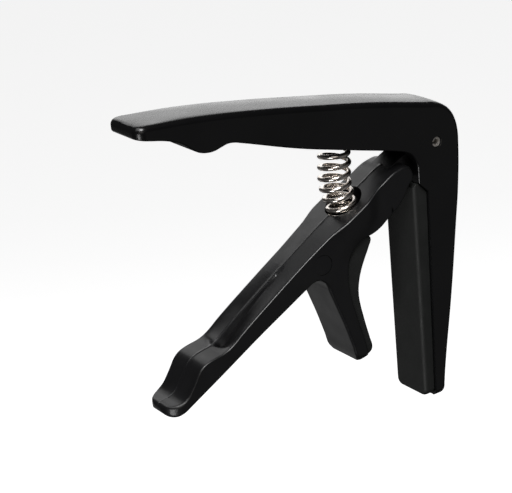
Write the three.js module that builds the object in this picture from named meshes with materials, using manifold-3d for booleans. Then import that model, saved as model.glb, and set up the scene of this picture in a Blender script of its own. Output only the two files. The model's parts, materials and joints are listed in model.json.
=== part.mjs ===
// A spring-clamp guitar capo, upright as it sits on a neck: a fixed frame (handle, elbow and bar in
// one casting), a lever (grip and jaw in one moulding) that turns on a spring pin, a coil spring
// between them, and a soft pad on each clamping face.
// Millimetres, +Z up. The profile lies in X-Z, the width runs along Y, and the whole part is
// symmetric about Y = 0. The origin is the centre of the flat face of the bar pad, which presses on
// the strings; +X points away from the neck there. Outlines are drawn from the pivot axis.
import * as THREE from "three";
import { mergeVertices } from "three/addons/utils/BufferGeometryUtils.js";
import { ConvexGeometry } from "three/addons/geometries/ConvexGeometry.js";
import Module from "manifold-3d";

const wasm = await Module();
wasm.setup();

// ---- Driving dimensions ----
const PIVOT_X = 8.2; // pivot axis from the bar pad's face
const PIVOT_Z = 42.6; // pivot axis above the middle of the bar pad
const FRAME_WIDTH = 15; // handle, elbow and bar, along Y
const FRAME_EDGE = 1.4; // rounding of the frame's long edges
const HANDLE_CORNER = 2.8; // rounding of the handle's tip, seen from above
const BAR_CORNER = 2.5; // rounding of the bar's lower end, seen from the front
const LEVER_WIDTH = 14.4; // jaw and shoulder of the lever
const GRIP_WIDTH = 13.4; // the lever where the fingers pull it
const LEVER_EDGE = 0.5; // rounding of the lever's long edges
const TOE_X = -90.6; // end of the lever's toe, from the pivot
const LEVER_CORNER = 4.4; // rounding of the lever's toe, seen from above
const JAW_END = -56.2; // lower end of the jaw
const JAW_CORNER = 2.9; // rounding of the jaw's end, seen from the front
const TANG_WIDTH = 8; // the lever's eye, which turns in the elbow's slot
const SLOT_WIDTH = 8.6;
const PIN_RADIUS = 1.5; // slotted spring pin
const PIN_BORE = 0.95;
const PIN_SLIT = 0.55;
const PIN_RECESS = 0.35; // how far each end of the pin lies below the frame's side
const FRAME_BORE = 1.55;
const LEVER_BORE = 1.58;
const EYE_RADIUS = 4.5;
const SLOT_RADIUS = 5.1; // room for the eye to turn
const PAD_WIDTH = 13.2; // both pads, along Y
const PAD_GAP = 0.1; // left between a pad and its seat
const PAD_TOP = -10.5; // upper and lower end of the bar pad, from the pivot
const PAD_BOTTOM = -74.7;
const BAR_BOTTOM = -75.3;
const PAD_EDGE = 1.4; // rounding of the bar pad's long edges
const BAR_PAD_CORNER = 2.2; // rounding of each pad's lower end, seen from the front
const JAW_PAD_CORNER = 1.8;
const SPRING_RADIUS = 3.85; // middle of the wire
const WIRE_RADIUS = 0.7;
const SPRING_TURNS = 6.85; // one closed turn at the foot, the rest open
const SPRING_CLEARANCE = 0.12; // left under the wire, and between its closed turn and the next
const COIL_FOOT = [-27.3, -15.85]; // middle of the spring on the pocket's floor
const COIL_TOP = [-29.1, 3.45]; // middle of its last turn, whose end meets the handle
const COIL_TOP_TILT = 8; // degrees
const COIL_BOW = 1.2; // how far the spring bows away from the pivot
const POCKET_FOOT = [-26.6, -15.85]; // middle of the pocket's floor
const POCKET_TILT = -8; // degrees
const POCKET_DEPTH = 12;
const POCKET_RADIUS = 5.3;
const BARREL_RADIUS = 8.5; // the swelling of the lever round the pocket
const BARREL_DEPTH = 8;
const BARREL_MOUTH = [-27.2, -12]; // middle of the swelling, on the lever's top face
const RIB_WIDTH = 1.8; // rib between the two finger troughs of the grip
const TROUGH_DEPTH = 2.6; // at the troughs' lower end
const PAD_END = -54.6; // lower end of the jaw pad

// ---- Outline helpers: every outline is a list of [x, z] points from the pivot axis ----
function smooth(steps, ...points) {
  const curve = new THREE.SplineCurve(points.map(([x, z]) => new THREE.Vector2(x, z)));
  return curve.getPoints(steps).map((p) => [p.x, p.y]);
}

function arc(x, z, radius, fromDegrees, toDegrees, steps) {
  const points = [];
  for (let i = 0; i <= steps; i++) {
    const a = THREE.MathUtils.degToRad(fromDegrees + ((toDegrees - fromDegrees) * i) / steps);
    points.push([x + radius * Math.cos(a), z + radius * Math.sin(a)]);
  }
  return points;
}

function shapeOf(points) {
  return new THREE.Shape(points.map(([x, z]) => new THREE.Vector2(x, z)));
}

// ---- Solids ----
function solid(geometry) {
  const g = geometry.clone();
  g.deleteAttribute("normal");
  g.deleteAttribute("uv");
  const merged = mergeVertices(g, 1e-4);
  return new wasm.Manifold(
    new wasm.Mesh({
      numProp: 3,
      vertProperties: merged.attributes.position.array,
      triVerts: new Uint32Array(merged.index.array),
    }),
  );
}

// An outline in X-Z, pushed out to both sides of Y = 0.
function acrossWidth(points, width, edge = 0, edgeSteps = 1) {
  const g = new THREE.ExtrudeGeometry(shapeOf(points), {
    depth: width - 2 * edge,
    bevelEnabled: edge > 0,
    bevelSize: edge,
    bevelThickness: edge,
    bevelOffset: -edge,
    bevelSegments: edgeSteps,
  });
  g.translate(0, 0, edge - width / 2);
  g.rotateX(Math.PI / 2);
  return solid(g);
}

// An outline in X-Y, seen from above, pushed down from z = high to z = low.
function seenFromAbove(points, low, high) {
  const g = new THREE.ExtrudeGeometry(shapeOf(points), { depth: high - low, bevelEnabled: false });
  g.translate(0, 0, low);
  return solid(g);
}

// An outline in Y-Z, seen from the front, pushed from x = low to x = high.
function seenFromFront(points, low, high) {
  const g = new THREE.ExtrudeGeometry(shapeOf(points), { depth: high - low, bevelEnabled: false });
  g.rotateX(Math.PI / 2);
  g.rotateZ(Math.PI / 2);
  g.translate(low, 0, 0);
  return solid(g);
}

function barAlongY(radius, width, sides = 32) {
  return solid(new THREE.CylinderGeometry(radius, radius, width, sides));
}

// A round solid about an axis in the X-Z plane, from a profile of [radius, height] points.
function turned(profile, foot, tiltDegrees, sides = 32) {
  const points = profile.map(([r, h]) => new THREE.Vector2(r, h));
  const g = new THREE.LatheGeometry(points, sides);
  g.rotateX(Math.PI / 2);
  g.rotateY(THREE.MathUtils.degToRad(tiltDegrees));
  g.translate(foot[0], 0, foot[1]);
  return solid(g);
}

function meshOf(name, made, colour, roughness, metalness) {
  const m = made.getMesh();
  const g = new THREE.BufferGeometry();
  g.setAttribute("position", new THREE.BufferAttribute(m.vertProperties, 3));
  g.setIndex(new THREE.BufferAttribute(m.triVerts, 1));
  g.computeVertexNormals();
  const mesh = new THREE.Mesh(g, new THREE.MeshStandardMaterial({ color: colour, roughness, metalness }));
  mesh.name = name;
  return mesh;
}

// ---- Frame: handle, elbow and bar ----
function frameOutline() {
  return [
    ...arc(-89.1, 24.1, 1.9, 175, 95, 4),
    ...smooth(14, [-87, 26], [-72.5, 24.4], [-54, 21.7], [-35.3, 18.4], [-18, 15.1], [-2, 11.4]),
    ...smooth(8, [0.8, 10.8], [3.4, 9.7], [5.8, 7.7], [7.4, 4.8], [8.2, 1.6]),
    ...smooth(10, [8.3, -2], [7.4, -15], [6.2, -24], [3.3, -45], [-0.8, -70]),
    ...arc(-2.9, BAR_BOTTOM + 1.9, 1.9, -5, -90, 4),
    [-4.8, BAR_BOTTOM],
    [-4.7, -68],
    [-3.8, -17.4],
    [-3.7, -13.3],
    [-6.8, -10.2],
    [-6.8, -5.6],
    ...smooth(6, [-7.2, -4.2], [-7.9, -2.8], [-8.9, -1.5], [-10.4, -0.5], [-12.8, 0.4]),
    [-27.8, 4.55],
    [-44.7, 9.3],
    [-61.6, 15],
    ...smooth(8, [-63.9, 15.7], [-65.8, 15.9], [-67.7, 15.5], [-70, 15], [-72.2, 15.1], [-74, 15.6]),
    ...smooth(4, [-75.7, 16.6], [-77.1, 17.7], [-78.6, 18.9]),
    ...smooth(4, [-80.5, 19.9], [-83.2, 20.9], [-89, 22.3]),
    [-90.6, 22.9],
  ];
}

function slotOutline() {
  return [
    ...arc(0, 0, SLOT_RADIUS, -59, 95, 14),
    [-8, 4.6],
    [-16.5, 1.2],
    [-17.5, -3],
    [-10, -12.3],
    [-6.8, -9.94],
  ];
}

function roundedEnd(half, radius, end, start) {
  return [
    [start, -half],
    ...arc(end + radius, -half + radius, radius, 270, 180, 6),
    ...arc(end + radius, half - radius, radius, 180, 90, 6),
    [start, half],
  ];
}

function flip(points) {
  return points.map(([a, b]) => [b, a]);
}

function makeFrame() {
  const half = FRAME_WIDTH / 2;
  let frame = acrossWidth(frameOutline(), FRAME_WIDTH, FRAME_EDGE, 3);
  frame = frame.intersect(seenFromAbove(roundedEnd(half, HANDLE_CORNER, -91, 20), -90, 40));
  frame = frame.intersect(seenFromFront(flip(roundedEnd(half, BAR_CORNER, BAR_BOTTOM, 40)), -100, 20));
  frame = frame.subtract(acrossWidth(slotOutline(), SLOT_WIDTH));
  return frame.subtract(barAlongY(FRAME_BORE, FRAME_WIDTH + 2));
}

// ---- Lever: grip, jaw and the eye round the pin ----
const SEAT = [
  [-27.1, -54.9],
  [-28.3, -49.3],
  [-29.8, -43.8],
  [-31.4, -37.4],
  [-32.1, -33.5],
  [-32.2, -29.5],
  [-31.3, -25.2],
  [-29.4, -22.5],
  [-27, -20.9],
  [-23.4, -20.3],
];

function leverOutline() {
  return [
    ...smooth(5, [-15, -5.2], [-12.9, -4.6], [-10.8, -4.3], [-9.6, -4.6]),
    ...smooth(4, [-8.8, -5.4], [-8.2, -6.7], [-8.1, -8]),
    ...smooth(8, [-8.6, -9.1], [-9.6, -9.9], [-10.3, -10.9], [-11, -12.2], [-12.2, -13.7], [-14, -15.2]),
    ...smooth(4, [-17.9, -17.6], [-20.6, -19.3], [-22.7, -20.4]),
    ...smooth(16, ...[...SEAT].reverse()),
    [-29.7, -56.2],
    [-30.5, -55.6],
    ...smooth(4, [-32.3, -50.2], [-34.4, -43.6], [-36.4, -38.1], [-38.4, -32.5]),
    ...smooth(6, [-38.9, -30.9], [-39.9, -29.4], [-41.4, -28.5], [-43.2, -28.6], [-45, -29.5]),
    ...smooth(6, [-52, -33.2], [-62, -38.5], [-72, -44.1], [-84, -50.7]),
    ...smooth(6, [-86.3, -52], [-88.3, -52.6], [-89.9, -52.2], [-90.6, -51], [-90.1, -49.9]),
    ...smooth(8, [-88.5, -49.5], [-86.8, -49.1], [-85, -48.1], [-83.4, -46.2], [-81.9, -44]),
    ...smooth(4, [-80.8, -42.3], [-79.4, -41], [-77.6, -40.2]),
    ...smooth(4, [-75.4, -39.7], [-72.7, -39.2], [-70.3, -38.2]),
    ...smooth(8, [-65.7, -35], [-55.7, -28.6], [-43.7, -21.2], [-35.7, -16.4], [-27.7, -12], [-19.7, -7.7]),
  ];
}

function tangOutline() {
  return [
    ...arc(0, 0, EYE_RADIUS, 178, -64, 18),
    [-9, -9.6],
    [-18, -13],
    [-18, -6.8],
    [-14.6, -4.9],
    [-10.6, -2.9],
  ];
}

// The lever seen from above: slim along the grip, then wide enough to clear the swelling.
function gripPlan() {
  const half = GRIP_WIDTH / 2;
  const clear = BARREL_RADIUS + 0.7;
  const middle = TOE_X + LEVER_CORNER;
  return [
    [-39.5, -half],
    ...arc(middle, -half + LEVER_CORNER, LEVER_CORNER, 270, 180, 6),
    ...arc(middle, half - LEVER_CORNER, LEVER_CORNER, 180, 90, 6),
    [-39.5, half],
    [-36.5, half + 0.4],
    [-34, clear],
    [10, clear],
    [10, -clear],
    [-34, -clear],
    [-36.5, -half - 0.4],
  ];
}

// One finger trough: it starts as nothing, deepens beside the rib and runs out to the grip's edge.
function trough(side) {
  const inner = (side * RIB_WIDTH) / 2;
  const outer = side * (GRIP_WIDTH / 2 - 0.5);
  const at = (x, z, y) => new THREE.Vector3(x, y, z);
  return solid(
    new ConvexGeometry([
      at(-47.5, -23.4, inner),
      at(-69.5, -37.6 - TROUGH_DEPTH, inner),
      at(-72.6, -38.9, inner),
      at(-72.6, -34, inner),
      at(-47.5, -20, inner),
      at(-49, -24.3, outer),
      at(-69.5, -37.7, outer),
      at(-72.2, -39, outer),
      at(-72.2, -34, outer),
      at(-49, -21, outer),
    ]),
  );
}

function makeLever() {
  const outline = leverOutline();
  let lever = acrossWidth(outline, LEVER_WIDTH, LEVER_EDGE, 1);
  const barrelProfile = [
    [0, -BARREL_DEPTH - 2],
    [BARREL_RADIUS - 2, -BARREL_DEPTH - 2],
    [BARREL_RADIUS, -BARREL_DEPTH + 1],
    [BARREL_RADIUS, 6],
    [0, 6],
  ];
  const barrel = turned(barrelProfile, BARREL_MOUTH, POCKET_TILT, 36);
  lever = lever.add(barrel.intersect(acrossWidth(outline, 20)));
  lever = lever.intersect(seenFromAbove(gripPlan(), -90, 20));
  const jawHalf = BARREL_RADIUS + 0.1;
  const jawCorner = JAW_CORNER + jawHalf - LEVER_WIDTH / 2;
  const jawFront = flip(roundedEnd(jawHalf, jawCorner, JAW_END, 20));
  lever = lever.intersect(seenFromFront(jawFront, -100, 20));
  const pocketProfile = [[0, 0], [POCKET_RADIUS, 0], [POCKET_RADIUS, POCKET_DEPTH], [0, POCKET_DEPTH]];
  lever = lever.subtract(turned(pocketProfile, POCKET_FOOT, POCKET_TILT, 32));
  lever = lever.subtract(trough(1)).subtract(trough(-1));
  lever = lever.add(acrossWidth(tangOutline(), TANG_WIDTH));
  return lever.subtract(barAlongY(LEVER_BORE, TANG_WIDTH + 2));
}

// ---- Pads ----
function barPadOutline() {
  const face = -PIVOT_X;
  return [
    [face, PAD_TOP - 0.9],
    [face + 0.9, PAD_TOP],
    [-6.9, PAD_TOP],
    [-3.85 - PAD_GAP, -13.35 - PAD_GAP],
    [-3.9 - PAD_GAP, -17.4],
    [-4.8 - PAD_GAP, -68],
    [-4.85 - PAD_GAP, PAD_BOTTOM],
    [face, PAD_BOTTOM],
  ];
}

function makeBarPad() {
  let pad = acrossWidth(barPadOutline(), PAD_WIDTH);
  pad = pad.intersect(seenFromAbove(roundedEnd(PAD_WIDTH / 2, PAD_EDGE, -PIVOT_X, 0), -90, 0));
  const front = flip(roundedEnd(PAD_WIDTH / 2, BAR_PAD_CORNER, PAD_BOTTOM, 20));
  return pad.intersect(seenFromFront(front, -100, 20));
}

function jawPadOutline() {
  const face = smooth(
    16,
    [-23.3, -21.4],
    [-24.2, -23.9],
    [-25.6, -26.5],
    [-27.1, -29.6],
    [-28.1, -32.8],
    [-28.5, -35.9],
    [-28.2, -39.3],
    [-27.5, -42.8],
    [-26.7, -46.4],
    [-25.8, -50],
    [-25.2, -52.8],
  );
  const seat = smooth(16, ...SEAT).slice(0, -1);
  const back = seat.map(([x, z]) => [x + PAD_GAP, z - (z > -24 ? PAD_GAP : 0)]);
  return [...face, [-25.5, -53.8], [-26.3, -54.5], ...back, [-24, -20.6]];
}

function makeJawPad() {
  const front = flip(roundedEnd(PAD_WIDTH / 2, JAW_PAD_CORNER, PAD_END, 20));
  return acrossWidth(jawPadOutline(), PAD_WIDTH).intersect(seenFromFront(front, -100, 20));
}

// ---- Spring pin and coil spring ----
function makePin() {
  const length = FRAME_WIDTH - 2 * PIN_RECESS;
  const gap = THREE.MathUtils.radToDeg(Math.asin(PIN_SLIT / 2 / PIN_RADIUS));
  const outside = arc(0, 0, PIN_RADIUS, 180 - gap, -180 + gap, 24);
  const inside = arc(0, 0, PIN_BORE, -180 + gap, 180 - gap, 24);
  return acrossWidth([...outside, ...inside], length);
}

function makeSpring() {
  const foot = COIL_FOOT[1] + WIRE_RADIUS + SPRING_CLEARANCE;
  const height = COIL_TOP[1] - foot;
  const closedPitch = 2 * WIRE_RADIUS + SPRING_CLEARANCE;
  const openPitch = (height - closedPitch) / (SPRING_TURNS - 1);
  const footTilt = THREE.MathUtils.degToRad(POCKET_TILT);
  const topTilt = THREE.MathUtils.degToRad(COIL_TOP_TILT);
  const count = 96; // sections along the wire
  const points = [];
  for (let i = 0; i <= count; i++) {
    const turn = (SPRING_TURNS * i) / count;
    const risen = turn < 1 ? turn * closedPitch : closedPitch + (turn - 1) * openPitch;
    const share = risen / height;
    const tilt = footTilt * (1 - share) + topTilt * share;
    const angle = (turn - SPRING_TURNS) * 2 * Math.PI;
    const bow = COIL_BOW * Math.sin(Math.PI * share) ** 2;
    const middle = COIL_FOOT[0] + (COIL_TOP[0] - COIL_FOOT[0]) * share - bow;
    const sideways = SPRING_RADIUS * Math.cos(angle);
    const x = middle + sideways * Math.cos(tilt);
    const z = foot + risen - sideways * Math.sin(tilt);
    points.push(new THREE.Vector3(x, SPRING_RADIUS * Math.sin(angle), z));
  }
  const wire = new THREE.Shape();
  wire.absarc(0, 0, WIRE_RADIUS, 0, 2 * Math.PI);
  const g = new THREE.ExtrudeGeometry(wire, {
    steps: count,
    curveSegments: 4,
    extrudePath: new THREE.CatmullRomCurve3(points),
    bevelEnabled: false,
  });
  return solid(g);
}

const capo = new THREE.Group();
capo.position.set(PIVOT_X, 0, PIVOT_Z);
capo.add(meshOf("frame", makeFrame(), 0x141416, 0.32, 0.1));
capo.add(meshOf("lever", makeLever(), 0x1c1c1e, 0.5, 0));
capo.add(meshOf("pivot_pin", makePin(), 0xc9c4bc, 0.3, 1));
capo.add(meshOf("spring", makeSpring(), 0xd2ccc2, 0.2, 1));
capo.add(meshOf("bar_pad", makeBarPad(), 0x1a1b19, 0.8, 0));
capo.add(meshOf("jaw_pad", makeJawPad(), 0x1a1b19, 0.8, 0));
export default capo;
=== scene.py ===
# %% [markdown]
# # A spring-clamp guitar capo
# A capo clamps across a guitar's neck and holds every string down. This one has a cast frame
# (handle, elbow and bar in one piece), a moulded lever (grip and jaw in one piece) that turns on a
# spring pin, a coil spring between the two, and a soft pad on each clamping face.
# The lesson starts from the engineering model: it gives the pivot, the widths and the bodies that
# move, and each cell below adds one piece with the shape and finish of the real thing.

# %% The engineering model
import json
import math
import bmesh
import bpy
from mathutils import Matrix, Vector

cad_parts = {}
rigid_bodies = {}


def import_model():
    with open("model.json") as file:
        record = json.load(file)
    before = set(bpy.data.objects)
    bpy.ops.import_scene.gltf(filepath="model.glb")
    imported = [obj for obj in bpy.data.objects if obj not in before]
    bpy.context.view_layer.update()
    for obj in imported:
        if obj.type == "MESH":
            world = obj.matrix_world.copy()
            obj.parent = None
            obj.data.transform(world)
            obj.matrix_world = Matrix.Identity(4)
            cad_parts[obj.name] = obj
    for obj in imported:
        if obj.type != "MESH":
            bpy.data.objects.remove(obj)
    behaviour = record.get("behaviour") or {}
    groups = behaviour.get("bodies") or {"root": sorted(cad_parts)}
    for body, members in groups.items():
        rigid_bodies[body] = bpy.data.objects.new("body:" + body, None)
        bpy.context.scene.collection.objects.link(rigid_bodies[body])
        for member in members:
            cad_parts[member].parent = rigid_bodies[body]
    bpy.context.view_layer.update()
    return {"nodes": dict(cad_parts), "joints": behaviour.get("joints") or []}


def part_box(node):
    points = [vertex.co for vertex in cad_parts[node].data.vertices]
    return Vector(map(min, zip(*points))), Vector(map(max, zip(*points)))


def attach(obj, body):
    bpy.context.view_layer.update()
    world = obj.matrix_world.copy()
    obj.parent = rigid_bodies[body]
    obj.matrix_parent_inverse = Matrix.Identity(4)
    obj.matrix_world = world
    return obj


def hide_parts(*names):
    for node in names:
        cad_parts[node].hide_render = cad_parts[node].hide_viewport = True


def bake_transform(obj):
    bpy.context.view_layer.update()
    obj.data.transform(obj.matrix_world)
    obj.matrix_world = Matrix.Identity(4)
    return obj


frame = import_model()
MM = 0.001
pivot = Vector(frame["joints"][0]["pos_m"])
print("pivot axis at", [round(v / MM, 2) for v in pivot], "mm")

# %% [markdown]
# ## Finishes
# Five finishes cover the whole capo: painted casting, moulded plastic, soft silicone, nickel wire
# and pin steel. Each could be one flat colour, but then even a good shape looks like a drawing. So
# each is one Principled shader whose roughness, colour and bump come from noise on Object
# coordinates, and the grain keeps its true size in millimetres on every piece.


# %% A plain material
def new_material(name, base, metallic=0.0, roughness=0.4):
    material = bpy.data.materials.new(name)
    material.use_nodes = True
    shader = material.node_tree.nodes["Principled BSDF"]
    shader.inputs["Base Color"].default_value = (*base, 1)
    shader.inputs["Metallic"].default_value = metallic
    shader.inputs["Roughness"].default_value = roughness
    return material, material.node_tree, shader


print("five finishes to make")


# %% Grain, and what it drives
def grain(tree, size_mm, detail=3.0, stretch=(1, 1, 1)):
    """Noise with features of about this size in millimetres; returns its value socket."""
    place = tree.nodes.new("ShaderNodeTexCoord")
    mapping = tree.nodes.new("ShaderNodeMapping")
    mapping.inputs["Scale"].default_value = stretch
    noise = tree.nodes.new("ShaderNodeTexNoise")
    noise.inputs["Scale"].default_value = 1 / (size_mm * MM)
    noise.inputs["Detail"].default_value = detail
    tree.links.new(place.outputs["Object"], mapping.inputs["Vector"])
    tree.links.new(mapping.outputs["Vector"], noise.inputs["Vector"])
    return noise.outputs["Fac"]


def spread(tree, value, low, high, target):
    """Drives a socket with a value that runs from low to high."""
    node = tree.nodes.new("ShaderNodeMapRange")
    node.inputs["From Min"].default_value = 0.3
    node.inputs["From Max"].default_value = 0.7
    node.inputs["To Min"].default_value = low
    node.inputs["To Max"].default_value = high
    tree.links.new(value, node.inputs["Value"])
    tree.links.new(node.outputs["Result"], target)


def tint(tree, value, dark, light, shader):
    """Lets the base colour wander between two shades."""
    ramp = tree.nodes.new("ShaderNodeValToRGB")
    ramp.color_ramp.elements[0].position = 0.3
    ramp.color_ramp.elements[0].color = (*dark, 1)
    ramp.color_ramp.elements[1].position = 0.7
    ramp.color_ramp.elements[1].color = (*light, 1)
    tree.links.new(value, ramp.inputs["Fac"])
    tree.links.new(ramp.outputs["Color"], shader.inputs["Base Color"])


def relief(tree, value, height_mm, shader, before=None):
    """Adds bump of this height; before is a bump that it builds on."""
    bump = tree.nodes.new("ShaderNodeBump")
    bump.inputs["Strength"].default_value = 1.0
    bump.inputs["Distance"].default_value = height_mm * MM
    tree.links.new(value, bump.inputs["Height"])
    if before:
        tree.links.new(before.outputs["Normal"], bump.inputs["Normal"])
    tree.links.new(bump.outputs["Normal"], shader.inputs["Normal"])
    return bump


print("grain is sized in millimetres")

# %% [markdown]
# ### Satin black paint
# Paint on a casting is smooth but never flat: it has a soft orange peel a few millimetres across
# and a much finer one on top. Real displacement could make it, at the cost of a heavy mesh. Two
# bumps, one built on the other, bend the highlights just as well.

# %% Satin black paint
paint, tree, shader = new_material("satin black paint", (0.006, 0.006, 0.007))
spread(tree, grain(tree, 9.0, 2.0), 0.22, 0.28, shader.inputs["Roughness"])
tint(tree, grain(tree, 14.0, 2.0), (0.0016, 0.0016, 0.0018), (0.0026, 0.0026, 0.0029), shader)
orange_peel = relief(tree, grain(tree, 2.6, 1.0), 0.0009, shader)
relief(tree, grain(tree, 0.4, 1.0), 0.00008, shader, orange_peel)
print(paint.name, "has", len(tree.nodes), "nodes")

# %% [markdown]
# ### Moulded black plastic
# The mould leaves a fine even texture, so the plastic is a little rougher than the paint, and
# slightly paler where it has been handled.

# %% Moulded black plastic
plastic, tree, shader = new_material("moulded black plastic", (0.014, 0.014, 0.0155))
spread(tree, grain(tree, 5.0, 3.0), 0.27, 0.36, shader.inputs["Roughness"])
tint(tree, grain(tree, 8.0, 3.0), (0.0036, 0.0036, 0.004), (0.0056, 0.0056, 0.0062), shader)
relief(tree, grain(tree, 0.25, 3.0), 0.0022, shader)
print(plastic.name, "has", len(tree.nodes), "nodes")

# %% [markdown]
# ### Soft black silicone
# Silicone has no sheen to speak of. High roughness with a fine bump keeps it dull at every angle.

# %% Soft black silicone
silicone, tree, shader = new_material("soft black silicone", (0.012, 0.013, 0.012), roughness=0.62)
spread(tree, grain(tree, 4.0, 3.0), 0.56, 0.7, shader.inputs["Roughness"])
tint(tree, grain(tree, 6.0, 3.0), (0.006, 0.0066, 0.0062), (0.0088, 0.0096, 0.009), shader)
relief(tree, grain(tree, 0.3, 4.0), 0.004, shader)
print(silicone.name, "has", len(tree.nodes), "nodes")

# %% [markdown]
# ### Nickel wire and pin steel
# The wire is bright, with faint drawing marks that break up what it mirrors. Its warm colour is
# partly nickel's own hue and partly a painted reflection of the warm wood around it. The pin is
# cut and rubbed, so it is greyer and much rougher.

# %% Nickel wire
nickel, tree, shader = new_material("nickel wire", (0.72, 0.67, 0.61), 1.0)
spread(tree, grain(tree, 1.2, 3.0), 0.16, 0.26, shader.inputs["Roughness"])
# warm tint: nickel's own hue plus a painted reflection of warm wood
tint(tree, grain(tree, 3.0, 3.0), (0.8, 0.72, 0.65), (0.95, 0.91, 0.86), shader)
relief(tree, grain(tree, 0.8, 1.0), 0.0012, shader)
print(nickel.name, "has", len(tree.nodes), "nodes")

# %% Pin steel
steel, tree, shader = new_material("pin steel", (0.55, 0.53, 0.5), 1.0)
spread(tree, grain(tree, 0.5, 3.0), 0.4, 0.6, shader.inputs["Roughness"])
tint(tree, grain(tree, 0.8, 3.0), (0.7, 0.66, 0.6), (0.92, 0.89, 0.85), shader)
relief(tree, grain(tree, 0.15, 3.0), 0.002, shader)
print(steel.name, "has", len(tree.nodes), "nodes")

# %% [markdown]
# ## Picking one piece at a time
# Blender's operators act on all that is selected, and the engineering model arrives selected. Each
# operator could be given its own context, but it is plainer to do what a hand would do: select
# nothing, then the one piece to work on.


# %% Selecting a piece
def nothing_selected():
    for other in bpy.context.scene.objects:
        other.select_set(False)


def take(piece):
    """Makes the piece the only selected and the active object."""
    nothing_selected()
    piece.select_set(True)
    bpy.context.view_layer.objects.active = piece
    return piece


def editing(piece, mode="EDGE"):
    """Enters edit mode with nothing selected."""
    take(piece)
    bpy.ops.object.mode_set(mode="EDIT")
    bpy.ops.mesh.select_mode(type=mode)
    bpy.ops.mesh.select_all(action="DESELECT")


def done():
    bpy.ops.object.mode_set(mode="OBJECT")


nothing_selected()
print(len(frame["nodes"]), "engineering nodes, none of them selected now")

# %% [markdown]
# ## Drawing in the middle plane
# Every outline is drawn in the middle plane, in millimetres from the pivot axis, because that is
# how such a lever mechanism is drawn. A plain point is rounded by its neighbours, and a point with
# a third value is a sharp corner. A closed curve through the points gives the smooth stretches for
# free, and it becomes a mesh with one face before it gets its thickness.


# %% Places in the middle plane
def spot(x, z, y=0.0):
    """A point given in millimetres from the pivot axis, in the model's metres."""
    return pivot + Vector((x, y, z)) * MM


print("10 mm above the pivot axis is", [round(v, 4) for v in spot(0, 10)], "in metres")

# %% An outline with one face
CORNER = "corner"
MERGE = 0.02


def flat_outline(name, points, smoothness=6):
    """A flat closed curve through the points, as a mesh with one face."""
    curve = bpy.data.curves.new(name, "CURVE")
    curve.dimensions = "3D"
    curve.resolution_u = smoothness
    spline = curve.splines.new("BEZIER")
    spline.bezier_points.add(len(points) - 1)
    for knot, point in zip(spline.bezier_points, points):
        knot.co = spot(point[0], point[1])
        kind = "VECTOR" if len(point) > 2 else "AUTO"
        knot.handle_left_type = kind
        knot.handle_right_type = kind
    spline.use_cyclic_u = True
    piece = bpy.data.objects.new(name, curve)
    bpy.context.scene.collection.objects.link(piece)
    take(piece)
    bpy.ops.object.convert(target="MESH")
    piece = bpy.context.object
    editing(piece, "VERT")
    bpy.ops.mesh.select_all(action="SELECT")
    bpy.ops.mesh.remove_doubles(threshold=MERGE * MM)
    bpy.ops.mesh.edge_face_add()
    done()
    return piece


print("points of an outline closer than", MERGE, "mm become one")


# %% An outline with its thickness
def slab(name, points, width, smoothness=6):
    """An outline given its thickness, evenly to both sides of the middle plane."""
    piece = flat_outline(name, points, smoothness)
    editing(piece, "FACE")
    bpy.ops.mesh.select_all(action="SELECT")
    bpy.ops.transform.translate(value=(0, -width * MM / 2, 0))
    bpy.ops.mesh.extrude_region_move(TRANSFORM_OT_translate={"value": (0, width * MM, 0)})
    bpy.ops.mesh.select_all(action="SELECT")
    bpy.ops.mesh.normals_make_consistent(inside=False)
    done()
    return piece


print("a slab is as thick on both sides of the middle plane")

# %% [markdown]
# ## The frame
# Handle, elbow and bar are one casting with soft, generous edges on the outside and crisper ones
# underneath. It could be a subdivision cage, but the outline is what the hand and the eye follow,
# so it is drawn as a closed curve, thickened, and then its edges are rounded in the order in which
# a pattern maker would round them: corners seen from above first, then the long edges.

# %% Frame: outline and thickness
FRAME_WIDTH = (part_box("frame")[1].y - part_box("frame")[0].y) / MM
frame_outline = [
    (-91.0, 25.75, CORNER), (-87.4, 25.75, CORNER), (-72.5, 24.4), (-54, 21.7), (-35.3, 18.4), (-18, 15.1),
    (-2, 11.4), (0.8, 10.8), (3.4, 9.7), (5.8, 7.7), (7.4, 4.8), (8.15, 1.6),
    (8.24, -2), (7.4, -15), (6.2, -24), (3.3, -45), (-0.3, -67), (-0.95, -72.2, CORNER),
    (-1.15, -75.3, CORNER),
    (-4.8, -75.3, CORNER), (-4.7, -68, CORNER), (-3.8, -17.4, CORNER), (-3.7, -13.3, CORNER),
    (-6.8, -10.2, CORNER), (-6.8, -5.6, CORNER), (-7.2, -4.2), (-7.9, -2.8), (-8.9, -1.5),
    (-10.4, -0.5), (-12.8, 0.4), (-27.8, 4.55), (-44.7, 9.3), (-61.6, 15),
    (-63.9, 15.7), (-65.8, 15.9), (-67.7, 15.5), (-70, 15), (-72.2, 15.1), (-74, 15.6),
    (-75.7, 16.6), (-77.1, 17.7), (-78.6, 18.9), (-80.5, 19.9), (-83.2, 20.9), (-87.3, 21.9, CORNER),
    (-90.95, 22.75, CORNER),
]
casting = slab("casting", frame_outline, FRAME_WIDTH)
print("frame outline", len(frame_outline), "points,", FRAME_WIDTH, "mm wide")

# %% [markdown]
# ### Rounding the right edges
# Edges could be picked by their numbers, but those change with every point of the outline. So they
# are picked by where they are and by how sharply their two faces meet.


# %% Picking and rounding edges
def sharp(edge, degrees=35):
    """True where the faces on the two sides of the edge meet at more than this angle."""
    return len(edge.link_faces) == 2 and edge.calc_face_angle(0) > math.radians(degrees)


def middle(edge):
    """The middle of an edge, in millimetres from the pivot axis."""
    return ((edge.verts[0].co + edge.verts[1].co) / 2 - pivot) / MM


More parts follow.
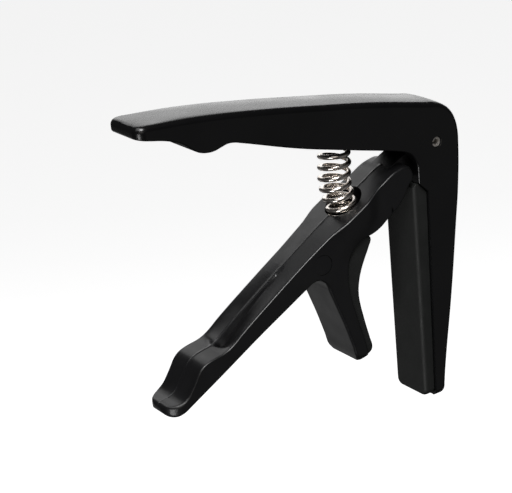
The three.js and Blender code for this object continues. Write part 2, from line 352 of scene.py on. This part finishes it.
def bevel_edges(piece, wanted, width, segments, profile=0.5):
    """Rounds the edges for which wanted(edge) is true."""
    editing(piece, "EDGE")
    work = bmesh.from_edit_mesh(piece.data)
    count = 0
    for edge in work.edges:
        chosen = bool(wanted(edge))
        edge.select = chosen
        count += chosen
    work.select_flush_mode()
    bmesh.update_edit_mesh(piece.data)
    if count:
        bpy.ops.mesh.bevel(offset=width * MM, segments=segments, profile=profile,
                           affect="EDGES", clamp_overlap=False)
    done()
    return count


draft = bmesh.new()
draft.from_mesh(casting.data)
print(sum(sharp(edge) for edge in draft.edges), "sharp edges on the casting")
draft.free()

# %% Frame: corners at the handle's tip and the bar's end
HANDLE_CORNER = 2.8
BAR_CORNER = 2.5
TIP_X = -90.8
BAR_END_Z = -75.2


def at_side(edge):
    """On one of the casting's two flat sides."""
    return abs(middle(edge).y) > FRAME_WIDTH / 2 - 0.1


def at_tip_corner(edge):
    upright = abs(edge.verts[0].co.z - edge.verts[1].co.z) > 2 * MM
    return sharp(edge, 60) and middle(edge).x < TIP_X and at_side(edge) and upright


def at_bar_corner(edge):
    return sharp(edge, 60) and middle(edge).z < BAR_END_Z and at_side(edge)


print(bevel_edges(casting, at_tip_corner, HANDLE_CORNER, 8), "tip corners")
print(bevel_edges(casting, at_bar_corner, BAR_CORNER, 8), "bar corners")


# %% Frame: where the long edges run
def faces_outward(edge):
    """True on the top of the handle, the elbow and the back of the bar."""
    return any(face.normal.x + face.normal.z > 0.3 for face in edge.link_faces)


def runs_along_rim(edge):
    """Along the outline of a side, or across the width at the handle's tip or the bar's end."""
    along = (edge.verts[0].co - edge.verts[1].co).normalized()
    at_end = middle(edge).x < -90.5 or middle(edge).z < -75
    return sharp(edge) and (abs(along.y) < 0.9 or at_end)


def beside_pad(edge):
    """On the bar's face, where the pad leaves only a narrow border of it."""
    return middle(edge).z < -11 and middle(edge).z > -74.9


print("outer edges, inner edges, and those beside the pad are told apart")

# %% Frame: long edges, soft outside and crisper inside
OUTER_EDGE = 1.5
INNER_EDGE = 0.5
BAR_EDGE = 0.22


def outer_rim(edge):
    return runs_along_rim(edge) and faces_outward(edge)


def pad_rim(edge):
    return runs_along_rim(edge) and not faces_outward(edge) and beside_pad(edge)


def inner_rim(edge):
    return runs_along_rim(edge) and not faces_outward(edge) and not beside_pad(edge)


print(bevel_edges(casting, outer_rim, OUTER_EDGE, 6), "outer edges rounded")
print(bevel_edges(casting, pad_rim, BAR_EDGE, 2), "edges beside the pad rounded")
print(bevel_edges(casting, inner_rim, INNER_EDGE, 4), "inner edges rounded")

# %% [markdown]
# ### The handle's crowned top
# The top of the handle is very slightly domed across its width, which is what draws its highlight
# out into a soft band. A subdivision cage could dome it, but a few cuts along the top and one
# formula keep the dome's height a plain number.


# %% Cuts and a smooth step
def slices(piece, points, normal):
    """Cuts the whole mesh along parallel planes, which adds edges and takes nothing away."""
    editing(piece, "VERT")
    for point in points:
        bpy.ops.mesh.select_all(action="SELECT")
        bpy.ops.mesh.bisect(plane_co=point, plane_no=normal)
    done()


def ease(value, start, end):
    """0 before start, 1 after end, and a smooth step between them."""
    t = min(max((value - start) / (end - start), 0), 1)
    return t * t * (3 - 2 * t)


print("halfway, a smooth step is at", ease(0.5, 0, 1))

# %% Frame: a slight crown across the top of the handle
CROWN = 0.55
TIP_CROWN = 0.2
crown_cuts = (-5, -3.4, -1.7, 0, 1.7, 3.4, 5)
slices(casting, [spot(0, 0, y) for y in crown_cuts], (0, 1, 0))
for vertex in casting.data.vertices:
    place = (vertex.co - pivot) / MM
    height = CROWN + (TIP_CROWN - CROWN) * ease(-place.x, 76, 87)
    share = max(1 - (place.y / (FRAME_WIDTH / 2)) ** 2, 0) * (1 - ease(place.x, 0, 7))
    upward = max(vertex.normal.z, 0)
    outward = Vector((vertex.normal.x, 0, vertex.normal.z))
    if upward > 0.2 and place.z > -2 and vertex.normal.x > -0.6:
        vertex.co += outward * upward * share * height * MM
casting.data.update()
print("crowned by up to", CROWN, "mm")

# %% [markdown]
# ### The slot and the pin hole
# The elbow straddles the lever's eye, so it has a slot up its middle and a cross hole for the pin.
# Extruding inwards could make them, but a Boolean cut with a slab and a rod leaves clean walls and
# needs no edges prepared for it.


# %% Cutting and joining solids
def apply_all(piece):
    """Applies every modifier of the piece, in order."""
    take(piece)
    for modifier in list(piece.modifiers):
        bpy.ops.object.modifier_apply(modifier=modifier.name)


def combine(piece, tool, operation):
    """Cuts or joins two solids with the Boolean modifier; the tool is used up."""
    modifier = piece.modifiers.new("combine", "BOOLEAN")
    modifier.object = tool
    modifier.operation = operation
    modifier.solver = "EXACT"
    apply_all(piece)
    bpy.data.objects.remove(tool)


def rod(name, radius, length, centre, turn=(math.pi / 2, 0, 0), sides=64):
    """A cylinder along the width, or along another axis given by its turn."""
    nothing_selected()
    bpy.ops.mesh.primitive_cylinder_add(vertices=sides, radius=radius * MM, depth=length * MM,
                                        location=centre, rotation=turn)
    piece = bpy.context.object
    piece.name = name
    bpy.ops.object.transform_apply(location=True, rotation=True, scale=True)
    return piece


print("a round hole has 64 sides")

# %% Frame: slot for the lever's eye and pin hole
SLOT_WIDTH = 8.6
FRAME_HOLE = 1.55
OVERSHOOT = 2
slot_outline = [
    (2.7, -4.4), (4.6, -2.2), (5.1, 0), (4.6, 2.2), (3, 4.1), (0, 5.1), (-8, 4.6, CORNER),
    (-16.5, 1.2, CORNER), (-17.5, -3, CORNER), (-10, -12.3, CORNER), (-6.8, -9.94, CORNER),
]
combine(casting, slab("slot cutter", slot_outline, SLOT_WIDTH), "DIFFERENCE")
combine(casting, rod("pin hole", FRAME_HOLE, FRAME_WIDTH + OVERSHOOT, spot(0, 0)), "DIFFERENCE")
print(len(casting.data.polygons), "faces after the cuts")


# %% Frame: smooth shading and hand-over
def finish_mesh(piece, degrees=32):
    """Merges doubled points, turns the faces out and shades the round stretches smooth."""
    editing(piece, "VERT")
    bpy.ops.mesh.select_all(action="SELECT")
    bpy.ops.mesh.remove_doubles(threshold=0.004 * MM)
    bpy.ops.mesh.normals_make_consistent(inside=False)
    done()
    bpy.ops.object.shade_smooth_by_angle(angle=math.radians(degrees))
    weighted = piece.modifiers.new("flat faces stay flat", "WEIGHTED_NORMAL")
    weighted.keep_sharp = True
    weighted.weight = 80
    apply_all(piece)
    print(piece.name, len(piece.data.polygons), "faces")


def settle(piece, body, node, material):
    """Gives the piece its material, joins it to its body and hides the engineering node it replaces."""
    piece.data.materials.clear()
    piece.data.materials.append(material)
    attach(piece, body)
    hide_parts(node)


finish_mesh(casting)
settle(casting, "frame", "frame", paint)

# %% [markdown]
# ## The lever
# Grip, shoulder and jaw are one moulding, about as wide as the frame, with a round pocket for the
# spring. It is drawn and thickened as the frame was. Then the mesh is sliced into a fine grid, so
# that a few formulas can shape it as a mould maker would: a swelling round the pocket, two finger
# troughs beside a rib, a faint ridge where the mould halves meet, and a rounded toe.

# %% Lever: outline and thickness
JAW_WIDTH = 14.4
lever_outline = [
    (-15, -5.2), (-12.9, -4.6), (-10.8, -4.3), (-9.6, -4.6), (-8.8, -5.4), (-8.2, -6.7), (-8.1, -8),
    (-8.6, -9.1), (-9.6, -9.9), (-10.3, -10.9), (-11, -12.2), (-12.2, -13.7), (-14, -15.2),
    (-17.9, -17.6), (-20.6, -19.3), (-23.4, -20.3),
    (-27, -20.9), (-29.4, -22.5), (-31.3, -25.2), (-32.2, -29.5), (-32.1, -33.5), (-31.4, -37.4),
    (-29.8, -43.8), (-28.3, -49.3), (-27.1, -54.9, CORNER), (-29.7, -56.2, CORNER), (-30.5, -55.6),
    (-32.3, -50.2), (-34.4, -43.6), (-36.4, -38.1), (-38.4, -32.5), (-38.9, -30.9), (-39.9, -29.4),
    (-41.4, -28.5), (-43.2, -28.6), (-45, -29.5), (-52, -33.2), (-62, -38.5), (-72, -44.1),
    (-84, -50.7), (-86.3, -52), (-88.3, -52.6), (-89.9, -52.2), (-90.6, -51), (-90.1, -49.9),
    (-88.5, -49.5), (-86.8, -49.1), (-85, -48.1), (-83.4, -46.2), (-81.9, -44), (-80.8, -42.3),
    (-79.4, -41), (-77.6, -40.2), (-75.4, -39.7), (-72.7, -39.2), (-70.3, -38.2), (-65.7, -35),
    (-55.7, -28.6), (-43.7, -21.2), (-35.7, -16.4), (-27.7, -12), (-19.7, -7.7),
]
lever = slab("lever_moulding", lever_outline, JAW_WIDTH, 5)
print("lever outline", len(lever_outline), "points")

# %% [markdown]
# ### The lever's rim
# The rim is crisp along the grip and rounder on the toe, the jaw and the shoulder. Separate bevels
# of different widths leave steps where they meet, so one Bevel modifier reads its width from a
# weight on each edge.

# %% Lever: how round the rim is
LEVER_EDGE = 0.5
TOE_EDGE = 0.9
JAW_EDGE = 0.9
SHOULDER_EDGE = 1.0
WIDEST_EDGE = 1.0


def side_rim(edge):
    """On the outline of one of a slab's two flat sides."""
    along = (edge.verts[0].co - edge.verts[1].co).normalized()
    return sharp(edge, 60) and abs(along.y) < 0.5


def rim_width(edge):
    """How far this edge is rounded: little on the grip, more on the toe, the jaw and the shoulder."""
    if not side_rim(edge):
        return 0
    place = middle(edge)
    past_jaw_middle = ease(place.x + place.z * 0.36 + 29.9 + 56 * 0.36 - 1.2, 1.5, -1.5)
    on_jaw = ease(-place.z, 28.5, 33) * (place.x > -41) * past_jaw_middle
    return (LEVER_EDGE + (TOE_EDGE - LEVER_EDGE) * ease(-place.x, 83, 88.5)
            + (JAW_EDGE - LEVER_EDGE) * on_jaw
            + (SHOULDER_EDGE - LEVER_EDGE) * ease(place.x, -19, -10))


print("rim from", LEVER_EDGE, "to", WIDEST_EDGE, "mm")

# %% Lever: rounding the rim
work = bmesh.new()
work.from_mesh(lever.data)
weights = work.edges.layers.float.new("bevel_weight_edge")
for edge in work.edges:
    edge[weights] = rim_width(edge) / WIDEST_EDGE
work.to_mesh(lever.data)
work.free()
rounding = lever.modifiers.new("rim", "BEVEL")
rounding.limit_method = "WEIGHT"
rounding.width = WIDEST_EDGE * MM
rounding.segments = 4
rounding.use_clamp_overlap = False
apply_all(lever)
print(len(lever.data.polygons), "faces after the rim is rounded")

# %% Lever: slices that the shaping needs
TOE_X = -90.6
TOE_CORNER = 5.6
JAW_END = -56.2
JAW_CORNER = 2.9
RIB_EDGE = 0.72
RIB_WALL = 0.25
rounds = [1 - math.cos(math.radians(a)) for a in range(10, 91, 10)]
slices(lever, [spot(-43 + 1.4 * i, 0) for i in range(20)], (1, 0, 0))
slices(lever, [spot(TOE_X + TOE_CORNER * r, 0) for r in rounds], (1, 0, 0))
slices(lever, [spot(0, -32 + 2 * i) for i in range(14)], (0, 0, 1))
slices(lever, [spot(0, JAW_END + JAW_CORNER * r) for r in rounds], (0, 0, 1))
half_cuts = [0.12, RIB_EDGE, RIB_EDGE + RIB_WALL, 1.4, 2, 2.7, 3.4, 4.1, 4.8, 5.5, 6.1, 6.5]
slices(lever, [spot(0, 0, y) for y in [0] + half_cuts + [-c for c in half_cuts]], (0, 1, 0))
print(len(lever.data.vertices), "points to shape")

# %% Lever: troughs, ridge and mould line
TROUGH_START = -47.5
TROUGH_END = -69.6
TROUGH_DEPTH = 2.6
RIDGE = 0.4
RIDGE_REACH = 6.6
TOE_RIDGE = 0.4
FLASH = 0.07


def trough_depth(x, y):
    """Nothing at the start, deepest beside the rib, and running out to the grip's edge."""
    along = min(max((TROUGH_START - x) / (TROUGH_START - TROUGH_END), 0), 1) ** 1.25
    lip = 1 - ease(-x, -TROUGH_END, -TROUGH_END + 3.2)
    wall = ease(abs(y), RIB_EDGE, RIB_EDGE + RIB_WALL)
    floor_rise = min(max((6.4 - abs(y)) / 5.2, 0), 1) ** 1.2
    return TROUGH_DEPTH * along * lip * wall * floor_rise


def on_top(place, normal):
    """On the upper face of the grip and the shoulder, not on the jaw's or the toe's underside."""
    grip_middle = -37.4 + 0.582 * (place.x + 65)
    return normal.z > 0.3 and (place.x > -47 or place.z > grip_middle)


for vertex in lever.data.vertices:
    place = (vertex.co - pivot) / MM
    if on_top(place, vertex.normal):
        rise = RIDGE * max(1 - abs(place.y) / RIDGE_REACH, 0) * (1 if place.x > -72 else TOE_RIDGE)
        rise += FLASH if abs(place.y) < 0.05 else 0
        vertex.co.z += (rise - trough_depth(place.x, place.y)) * MM
print("troughs up to", TROUGH_DEPTH, "mm deep")

# %% Lever: swelling, slim grip and rounded ends
POCKET_X = -28.3
SWELLING = 1.3
SLIMMING = 0.55


def half_width(x, z):
    """Half the lever's width: a swelling round the pocket, a slimmer grip, and round ends."""
    half = JAW_WIDTH / 2
    below_top = (-12 + 0.6 * (x + 27.7)) - z
    half += SWELLING * (1 - ease(abs(x - POCKET_X), 2.5, 9)) * (1 - ease(below_top, 3.5, 11))
    half -= SLIMMING * ease(-x, 34, 46)
    if x < TOE_X + TOE_CORNER:
        inset = 1 - (x - TOE_X) / TOE_CORNER
        half += TOE_CORNER * (math.sqrt(max(1 - inset * inset, 0)) - 1)
    if z < JAW_END + JAW_CORNER:
        inset = 1 - (z - JAW_END) / JAW_CORNER
        half += JAW_CORNER * (math.sqrt(max(1 - inset * inset, 0)) - 1)
    return half


for vertex in lever.data.vertices:
    place = (vertex.co - pivot) / MM
    vertex.co.y *= half_width(place.x, place.z) / (JAW_WIDTH / 2)
lever.data.update()
print("widest at the pocket, by", SWELLING, "mm on each side")

# %% Lever: spring pocket
SPRING_FOOT = (-27.3, -15.85)
POCKET_FOOT = (-26.6, -15.85)
POCKET_TILT = math.radians(-8)
POCKET_RADIUS = 5.3
POCKET_CUT = 12
lean = Vector((math.sin(POCKET_TILT), 0, math.cos(POCKET_TILT)))
pocket_centre = spot(*POCKET_FOOT) + lean * (POCKET_CUT / 2) * MM
pocket = rod("pocket", POCKET_RADIUS, POCKET_CUT, pocket_centre, (0, POCKET_TILT, 0))
combine(lever, pocket, "DIFFERENCE")
print("pocket", 2 * POCKET_RADIUS, "mm across")

# %% Lever: ejector mark
MARK_RADIUS = 2.85
MARK_LINE = 0.16
MARK_SPOT = spot(-40.1, -24.3, -7.25)
mark = rod("ejector mark", MARK_RADIUS, 1, MARK_SPOT)
combine(mark, rod("mark core", MARK_RADIUS - MARK_LINE, 2, MARK_SPOT), "DIFFERENCE")
combine(lever, mark, "DIFFERENCE")
print("a ring", MARK_LINE, "mm wide is left where the ejector pushed")

# %% Lever: the eye that turns on the pin
TANG_WIDTH = 8
TANG_EDGE = 0.3
EYE_HOLE = 1.58
tang_outline = [
    (-4.5, 0.15), (-3.4, 3), (0, 4.5), (3.2, 3.2), (4.5, 0), (4, -2.1), (2, -4.05),
    (-9, -9.6, CORNER), (-18, -13, CORNER), (-18, -6.8, CORNER), (-14.6, -4.9), (-10.6, -2.9),
]
tang = slab("tang", tang_outline, TANG_WIDTH)
print(bevel_edges(tang, side_rim, TANG_EDGE, 2), "edges of the eye rounded")
combine(lever, tang, "UNION")
combine(lever, rod("eye hole", EYE_HOLE, TANG_WIDTH + OVERSHOOT, spot(0, 0)), "DIFFERENCE")
finish_mesh(lever)
settle(lever, "lever", "lever", plastic)

# %% [markdown]
# ## The pads
# Both pads are soft silicone strips that stand a little proud of their seats. They are drawn as
# slabs too, and their long edges are rounded more than those of the hard parts, because silicone is
# moulded with easy edges.

# %% Bar pad: outline and thickness
PAD_WIDTH = 13.2
FACE_X = -pivot.x / MM
bar_pad_outline = [
    (FACE_X, -11.4, CORNER), (FACE_X + 0.9, -10.5, CORNER), (-6.56, -10.5, CORNER),
    (-3.77, -13.38, CORNER), (-3.85, -17.4, CORNER), (-4.75, -68, CORNER), (-4.84, -74.7, CORNER),
    (FACE_X, -74.7, CORNER),
]
bar_strip = slab("bar_strip", bar_pad_outline, PAD_WIDTH)
print("bar pad outline", len(bar_pad_outline), "points")

# %% Bar pad: rounded end and easy long edges
STRIP_CORNER = 2.2
STRIP_FACE_EDGE = 1.2
STRIP_BACK_EDGE = 0.2
STRIP_END_Z = -74.6


def at_strip_corner(edge):
    place = middle(edge)
    return sharp(edge, 60) and place.z < STRIP_END_Z and abs(place.y) > PAD_WIDTH / 2 - 0.1


def on_string_face(edge):
    """Round the face that meets the strings, below its slanted top."""
    place = middle(edge)
    on_face = sharp(edge, 60) and place.x < FACE_X + 0.05 and place.z < -12
    return on_face and (abs(place.y) > 2 or place.z < STRIP_END_Z)


def still_sharp(edge):
    return sharp(edge, 40)


print(bevel_edges(bar_strip, at_strip_corner, STRIP_CORNER, 6), "corners")
print(bevel_edges(bar_strip, on_string_face, STRIP_FACE_EDGE, 5), "edges of the face")
print(bevel_edges(bar_strip, still_sharp, STRIP_BACK_EDGE, 2), "other edges")
finish_mesh(bar_strip)
settle(bar_strip, "frame", "bar_pad", silicone)

# %% Jaw pad
JAW_STRIP_EDGE = 0.9
JAW_STRIP_BACK_EDGE = 0.15
jaw_pad_outline = [
    (-23.3, -21.4), (-24.2, -23.9), (-25.6, -26.5), (-27.1, -29.6), (-28.1, -32.8), (-28.5, -35.9),
    (-28.2, -39.3), (-27.5, -42.8), (-26.7, -46.4), (-25.8, -50), (-25.2, -52.8), (-25.5, -53.8),
    (-26.3, -54.5), (-27, -54.85, CORNER), (-28.2, -49.3), (-29.7, -43.8), (-31.3, -37.4),
    (-32, -33.5), (-32.1, -29.5), (-31.2, -25.25), (-29.3, -22.65), (-26.9, -21.05),
    (-24, -20.6, CORNER),
]
jaw_strip = slab("jaw_strip", jaw_pad_outline, PAD_WIDTH)


def on_jaw_face(edge):
    return side_rim(edge) and any(face.normal.x > 0.3 for face in edge.link_faces)


print(bevel_edges(jaw_strip, on_jaw_face, JAW_STRIP_EDGE, 5), "edges of the face")
print(bevel_edges(jaw_strip, side_rim, JAW_STRIP_BACK_EDGE, 2), "other edges")
finish_mesh(jaw_strip)
settle(jaw_strip, "lever", "jaw_pad", silicone)

# %% [markdown]
# ## The pin
# The pivot is a slotted spring pin: a tube with a slit, pressed in and left a little below the
# surface. A bent sheet could be rolled up, but a rod, a bore and a slit give the same ends, which
# are all that shows.

# %% Pivot pin
PIN_RADIUS = 1.5
PIN_BORE = 0.95
PIN_SLIT = 0.55
PIN_RECESS = 0.35
PIN_EDGE = 0.22
pin_length = FRAME_WIDTH - 2 * PIN_RECESS
pin = rod("slotted_pin", PIN_RADIUS, pin_length, spot(0, 0))
print(bevel_edges(pin, lambda edge: sharp(edge, 60), PIN_EDGE, 3), "edges of the pin's ends rounded")
combine(pin, rod("pin bore", PIN_BORE, pin_length + OVERSHOOT, spot(0, 0)), "DIFFERENCE")

# %% Pivot pin: its slit
SLIT_X = -1.2
SLIT_DEPTH = 1.4
SLIT_EDGE = 0.05
nothing_selected()
bpy.ops.mesh.primitive_cube_add(size=MM, location=spot(SLIT_X, 0))
slit = bpy.context.object
slit.scale = (SLIT_DEPTH, pin_length + OVERSHOOT, PIN_SLIT)
bpy.ops.object.transform_apply(location=True, rotation=True, scale=True)
bevel_edges(slit, sharp, SLIT_EDGE, 1)
combine(pin, slit, "DIFFERENCE")
finish_mesh(pin)
settle(pin, "frame", "pivot_pin", steel)

# %% [markdown]
# ## The spring
# The spring is a helix worked out turn by turn: one closed turn at its foot, open turns above it,
# and a lean from the pocket's floor to the handle's underside. Spin could wind it, but it can't
# lean or bow on the way. A curve with a round bevel becomes the wire, and it is then made a mesh.

# %% Coil spring: its pitch
WIRE_RADIUS = 0.7
COIL_RADIUS = 3.85
TURNS = 6.85
STEPS = 280
FLOOR_GAP = 0.12
COIL_TOP = (-29.1, 3.45)
COIL_BOW = 1.2
TOP_TILT = math.radians(8)
coil_start = SPRING_FOOT[1] + WIRE_RADIUS + FLOOR_GAP
coil_height = COIL_TOP[1] - coil_start
closed_pitch = WIRE_RADIUS * 2.08
open_pitch = (coil_height - closed_pitch) / (TURNS - 1)


def height_at(turn):
    """How high the wire is above the coil's foot after this many turns: one closed, the rest open."""
    return turn * closed_pitch if turn < 1 else closed_pitch + (turn - 1) * open_pitch


print("coil spring,", TURNS, "turns,", round(open_pitch, 2), "mm pitch")

# %% Coil spring: winding the wire
wire_curve = bpy.data.curves.new("coil_spring", "CURVE")
wire_curve.dimensions = "3D"
wire_curve.bevel_depth = WIRE_RADIUS * MM
wire_curve.bevel_resolution = 6
wire_curve.use_fill_caps = True
spline = wire_curve.splines.new("POLY")
spline.points.add(STEPS)
for step, knot in enumerate(spline.points):
    turn_count = TURNS * step / STEPS
    share = height_at(turn_count) / coil_height
    tilt = POCKET_TILT * (1 - share) + TOP_TILT * share
    angle = (turn_count - TURNS) * 2 * math.pi
    sideways = COIL_RADIUS * math.cos(angle)
    x = SPRING_FOOT[0] + (COIL_TOP[0] - SPRING_FOOT[0]) * share - COIL_BOW * math.sin(math.pi * share) ** 2
    x += sideways * math.cos(tilt)
    z = coil_start + coil_height * share - sideways * math.sin(tilt)
    knot.co = (*spot(x, z, COIL_RADIUS * math.sin(angle)), 1)
coil = bpy.data.objects.new("coil_spring", wire_curve)
bpy.context.scene.collection.objects.link(coil)
take(coil)
bpy.ops.object.convert(target="MESH")
coil = bpy.context.object
bpy.ops.object.shade_smooth_by_angle(angle=math.radians(50))
coil.data.materials.append(nickel)
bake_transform(coil)
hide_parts("spring")
print(len(coil.data.polygons), "faces of wire")

# %% [markdown]
# ## Studio
# Black satin shows nothing but what it mirrors. One big dome would turn every face the same grey,
# so each light stands where one face's mirror direction points. Three soft lights high behind are
# for the tops of the handle and the grip, and three long strips behind are for the handle's far
# half. A weak card low behind is for the jaw's back. In front, small bright lights draw the thin
# lines along the rounded edges, and two dim cards keep the sides from going quite black.

# %% Camera
CAMERA_PLACE = (-0.25784, -0.33547, 0.17847)
LOOKING = Vector((0.49536, 0.79122, -0.35860))
ROLL = math.radians(-5.47)
LENS = 114.33
SENSOR = 36
camera_data = bpy.data.cameras.new("camera")
camera_data.lens = LENS
camera_data.sensor_width = SENSOR
camera = bpy.data.objects.new("camera", camera_data)
bpy.context.scene.collection.objects.link(camera)
turn = LOOKING.to_track_quat("-Z", "Y").to_matrix() @ Matrix.Rotation(ROLL, 3, "Z")
camera.matrix_world = Matrix.Translation(CAMERA_PLACE) @ turn.to_4x4()
bpy.context.scene.camera = camera
print("camera with a", LENS, "mm lens")

# %% Floor
FLOOR_RADIUS = 30
FLOOR_HEIGHT = -0.6
FLOOR_GLOW = 0.85
nothing_selected()
bpy.ops.mesh.primitive_circle_add(vertices=128, radius=FLOOR_RADIUS, fill_type="NGON",
                                  location=(0, 0, FLOOR_HEIGHT))
floor = bpy.context.object
floor.name = "floor"
floor.visible_glossy = False
floor.visible_diffuse = False
pale, tree, shader = new_material("pale floor", (0.8, 0.8, 0.8), roughness=0.9)
shader.inputs["Specular IOR Level"].default_value = 0.0
shader.inputs["Emission Color"].default_value = (1, 1, 1, 1)
shader.inputs["Emission Strength"].default_value = FLOOR_GLOW
floor.data.materials.append(pale)
print("pale floor", 2 * FLOOR_RADIUS, "m across")

# %% One soft light
centre = (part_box("frame")[0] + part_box("frame")[1]) / 2


def soft_light(name, bearing, rise, distance, width, height, glow, colour=(1, 1, 1)):
    """A soft box that faces the capo. Bearing is in degrees from straight behind it to the right,
    rise in degrees above it, sizes are in metres, and glow is how bright its surface is."""
    data = bpy.data.lights.new(name, "AREA")
    data.shape = "RECTANGLE"
    data.size = width
    data.size_y = height
    data.energy = glow * math.pi * width * height
    data.color = colour
    light = bpy.data.objects.new(name, data)
    bpy.context.scene.collection.objects.link(light)
    level = math.cos(math.radians(rise))
    way = Vector((level * math.sin(math.radians(bearing)), level * math.cos(math.radians(bearing)),
                  math.sin(math.radians(rise))))
    light.location = centre + way * distance
    light.rotation_euler = (-way).to_track_quat("-Z", "Y").to_euler()
    light.visible_camera = False
    return light


print("lights face", [round(v, 4) for v in centre])

# %% Lights
soft_light("behind left", 3, 37, 0.55, 0.18, 0.26, 1.15)
soft_light("behind middle", 20, 37, 0.55, 0.18, 0.26, 0.4)
soft_light("behind right", 37, 37, 0.55, 0.18, 0.26, 0.75)
soft_light("low strip", 36, 0, 1.5, 1.6, 0.25, 1.45)
soft_light("middle strip", 36, 9, 1.5, 1.6, 0.25, 0.9)
soft_light("high strip", 38, 18, 1.5, 1.6, 0.25, 1.6)
soft_light("low card", -14, -35, 0.8, 0.6, 0.5, 0.24)
soft_light("overhead", -112, 68, 0.9, 0.75, 0.75, 2.2)
soft_light("edge light", -150, 60, 0.9, 0.35, 0.35, 16)
soft_light("corner light", -120, -21, 0.8, 0.3, 0.26, 8)
soft_light("front card", 148, -21, 1.0, 0.9, 0.9, 0.07)
soft_light("camera card", -148, 25, 0.8, 0.5, 0.5, 0.8, (1, 0.95, 0.9))

# %% Surroundings
DIM_GLOW = 0.04
BRIGHT_GLOW = 0.95
world = bpy.data.worlds.new("surroundings")
bpy.context.scene.world = world
world.use_nodes = True
tree = world.node_tree
dim = tree.nodes["Background"]
dim.inputs["Color"].default_value = (1, 1, 1, 1)
dim.inputs["Strength"].default_value = DIM_GLOW
bright = tree.nodes.new("ShaderNodeBackground")
bright.inputs["Color"].default_value = (1, 1, 1, 1)
bright.inputs["Strength"].default_value = BRIGHT_GLOW
choice = tree.nodes.new("ShaderNodeMixShader")
rays = tree.nodes.new("ShaderNodeLightPath")
tree.links.new(rays.outputs["Is Camera Ray"], choice.inputs["Fac"])
tree.links.new(dim.outputs["Background"], choice.inputs[1])
tree.links.new(bright.outputs["Background"], choice.inputs[2])
tree.links.new(choice.outputs["Shader"], tree.nodes["World Output"].inputs["Surface"])
bpy.context.scene.view_settings.view_transform = "Standard"
print("the camera sees", BRIGHT_GLOW, "and the pieces mirror", DIM_GLOW)
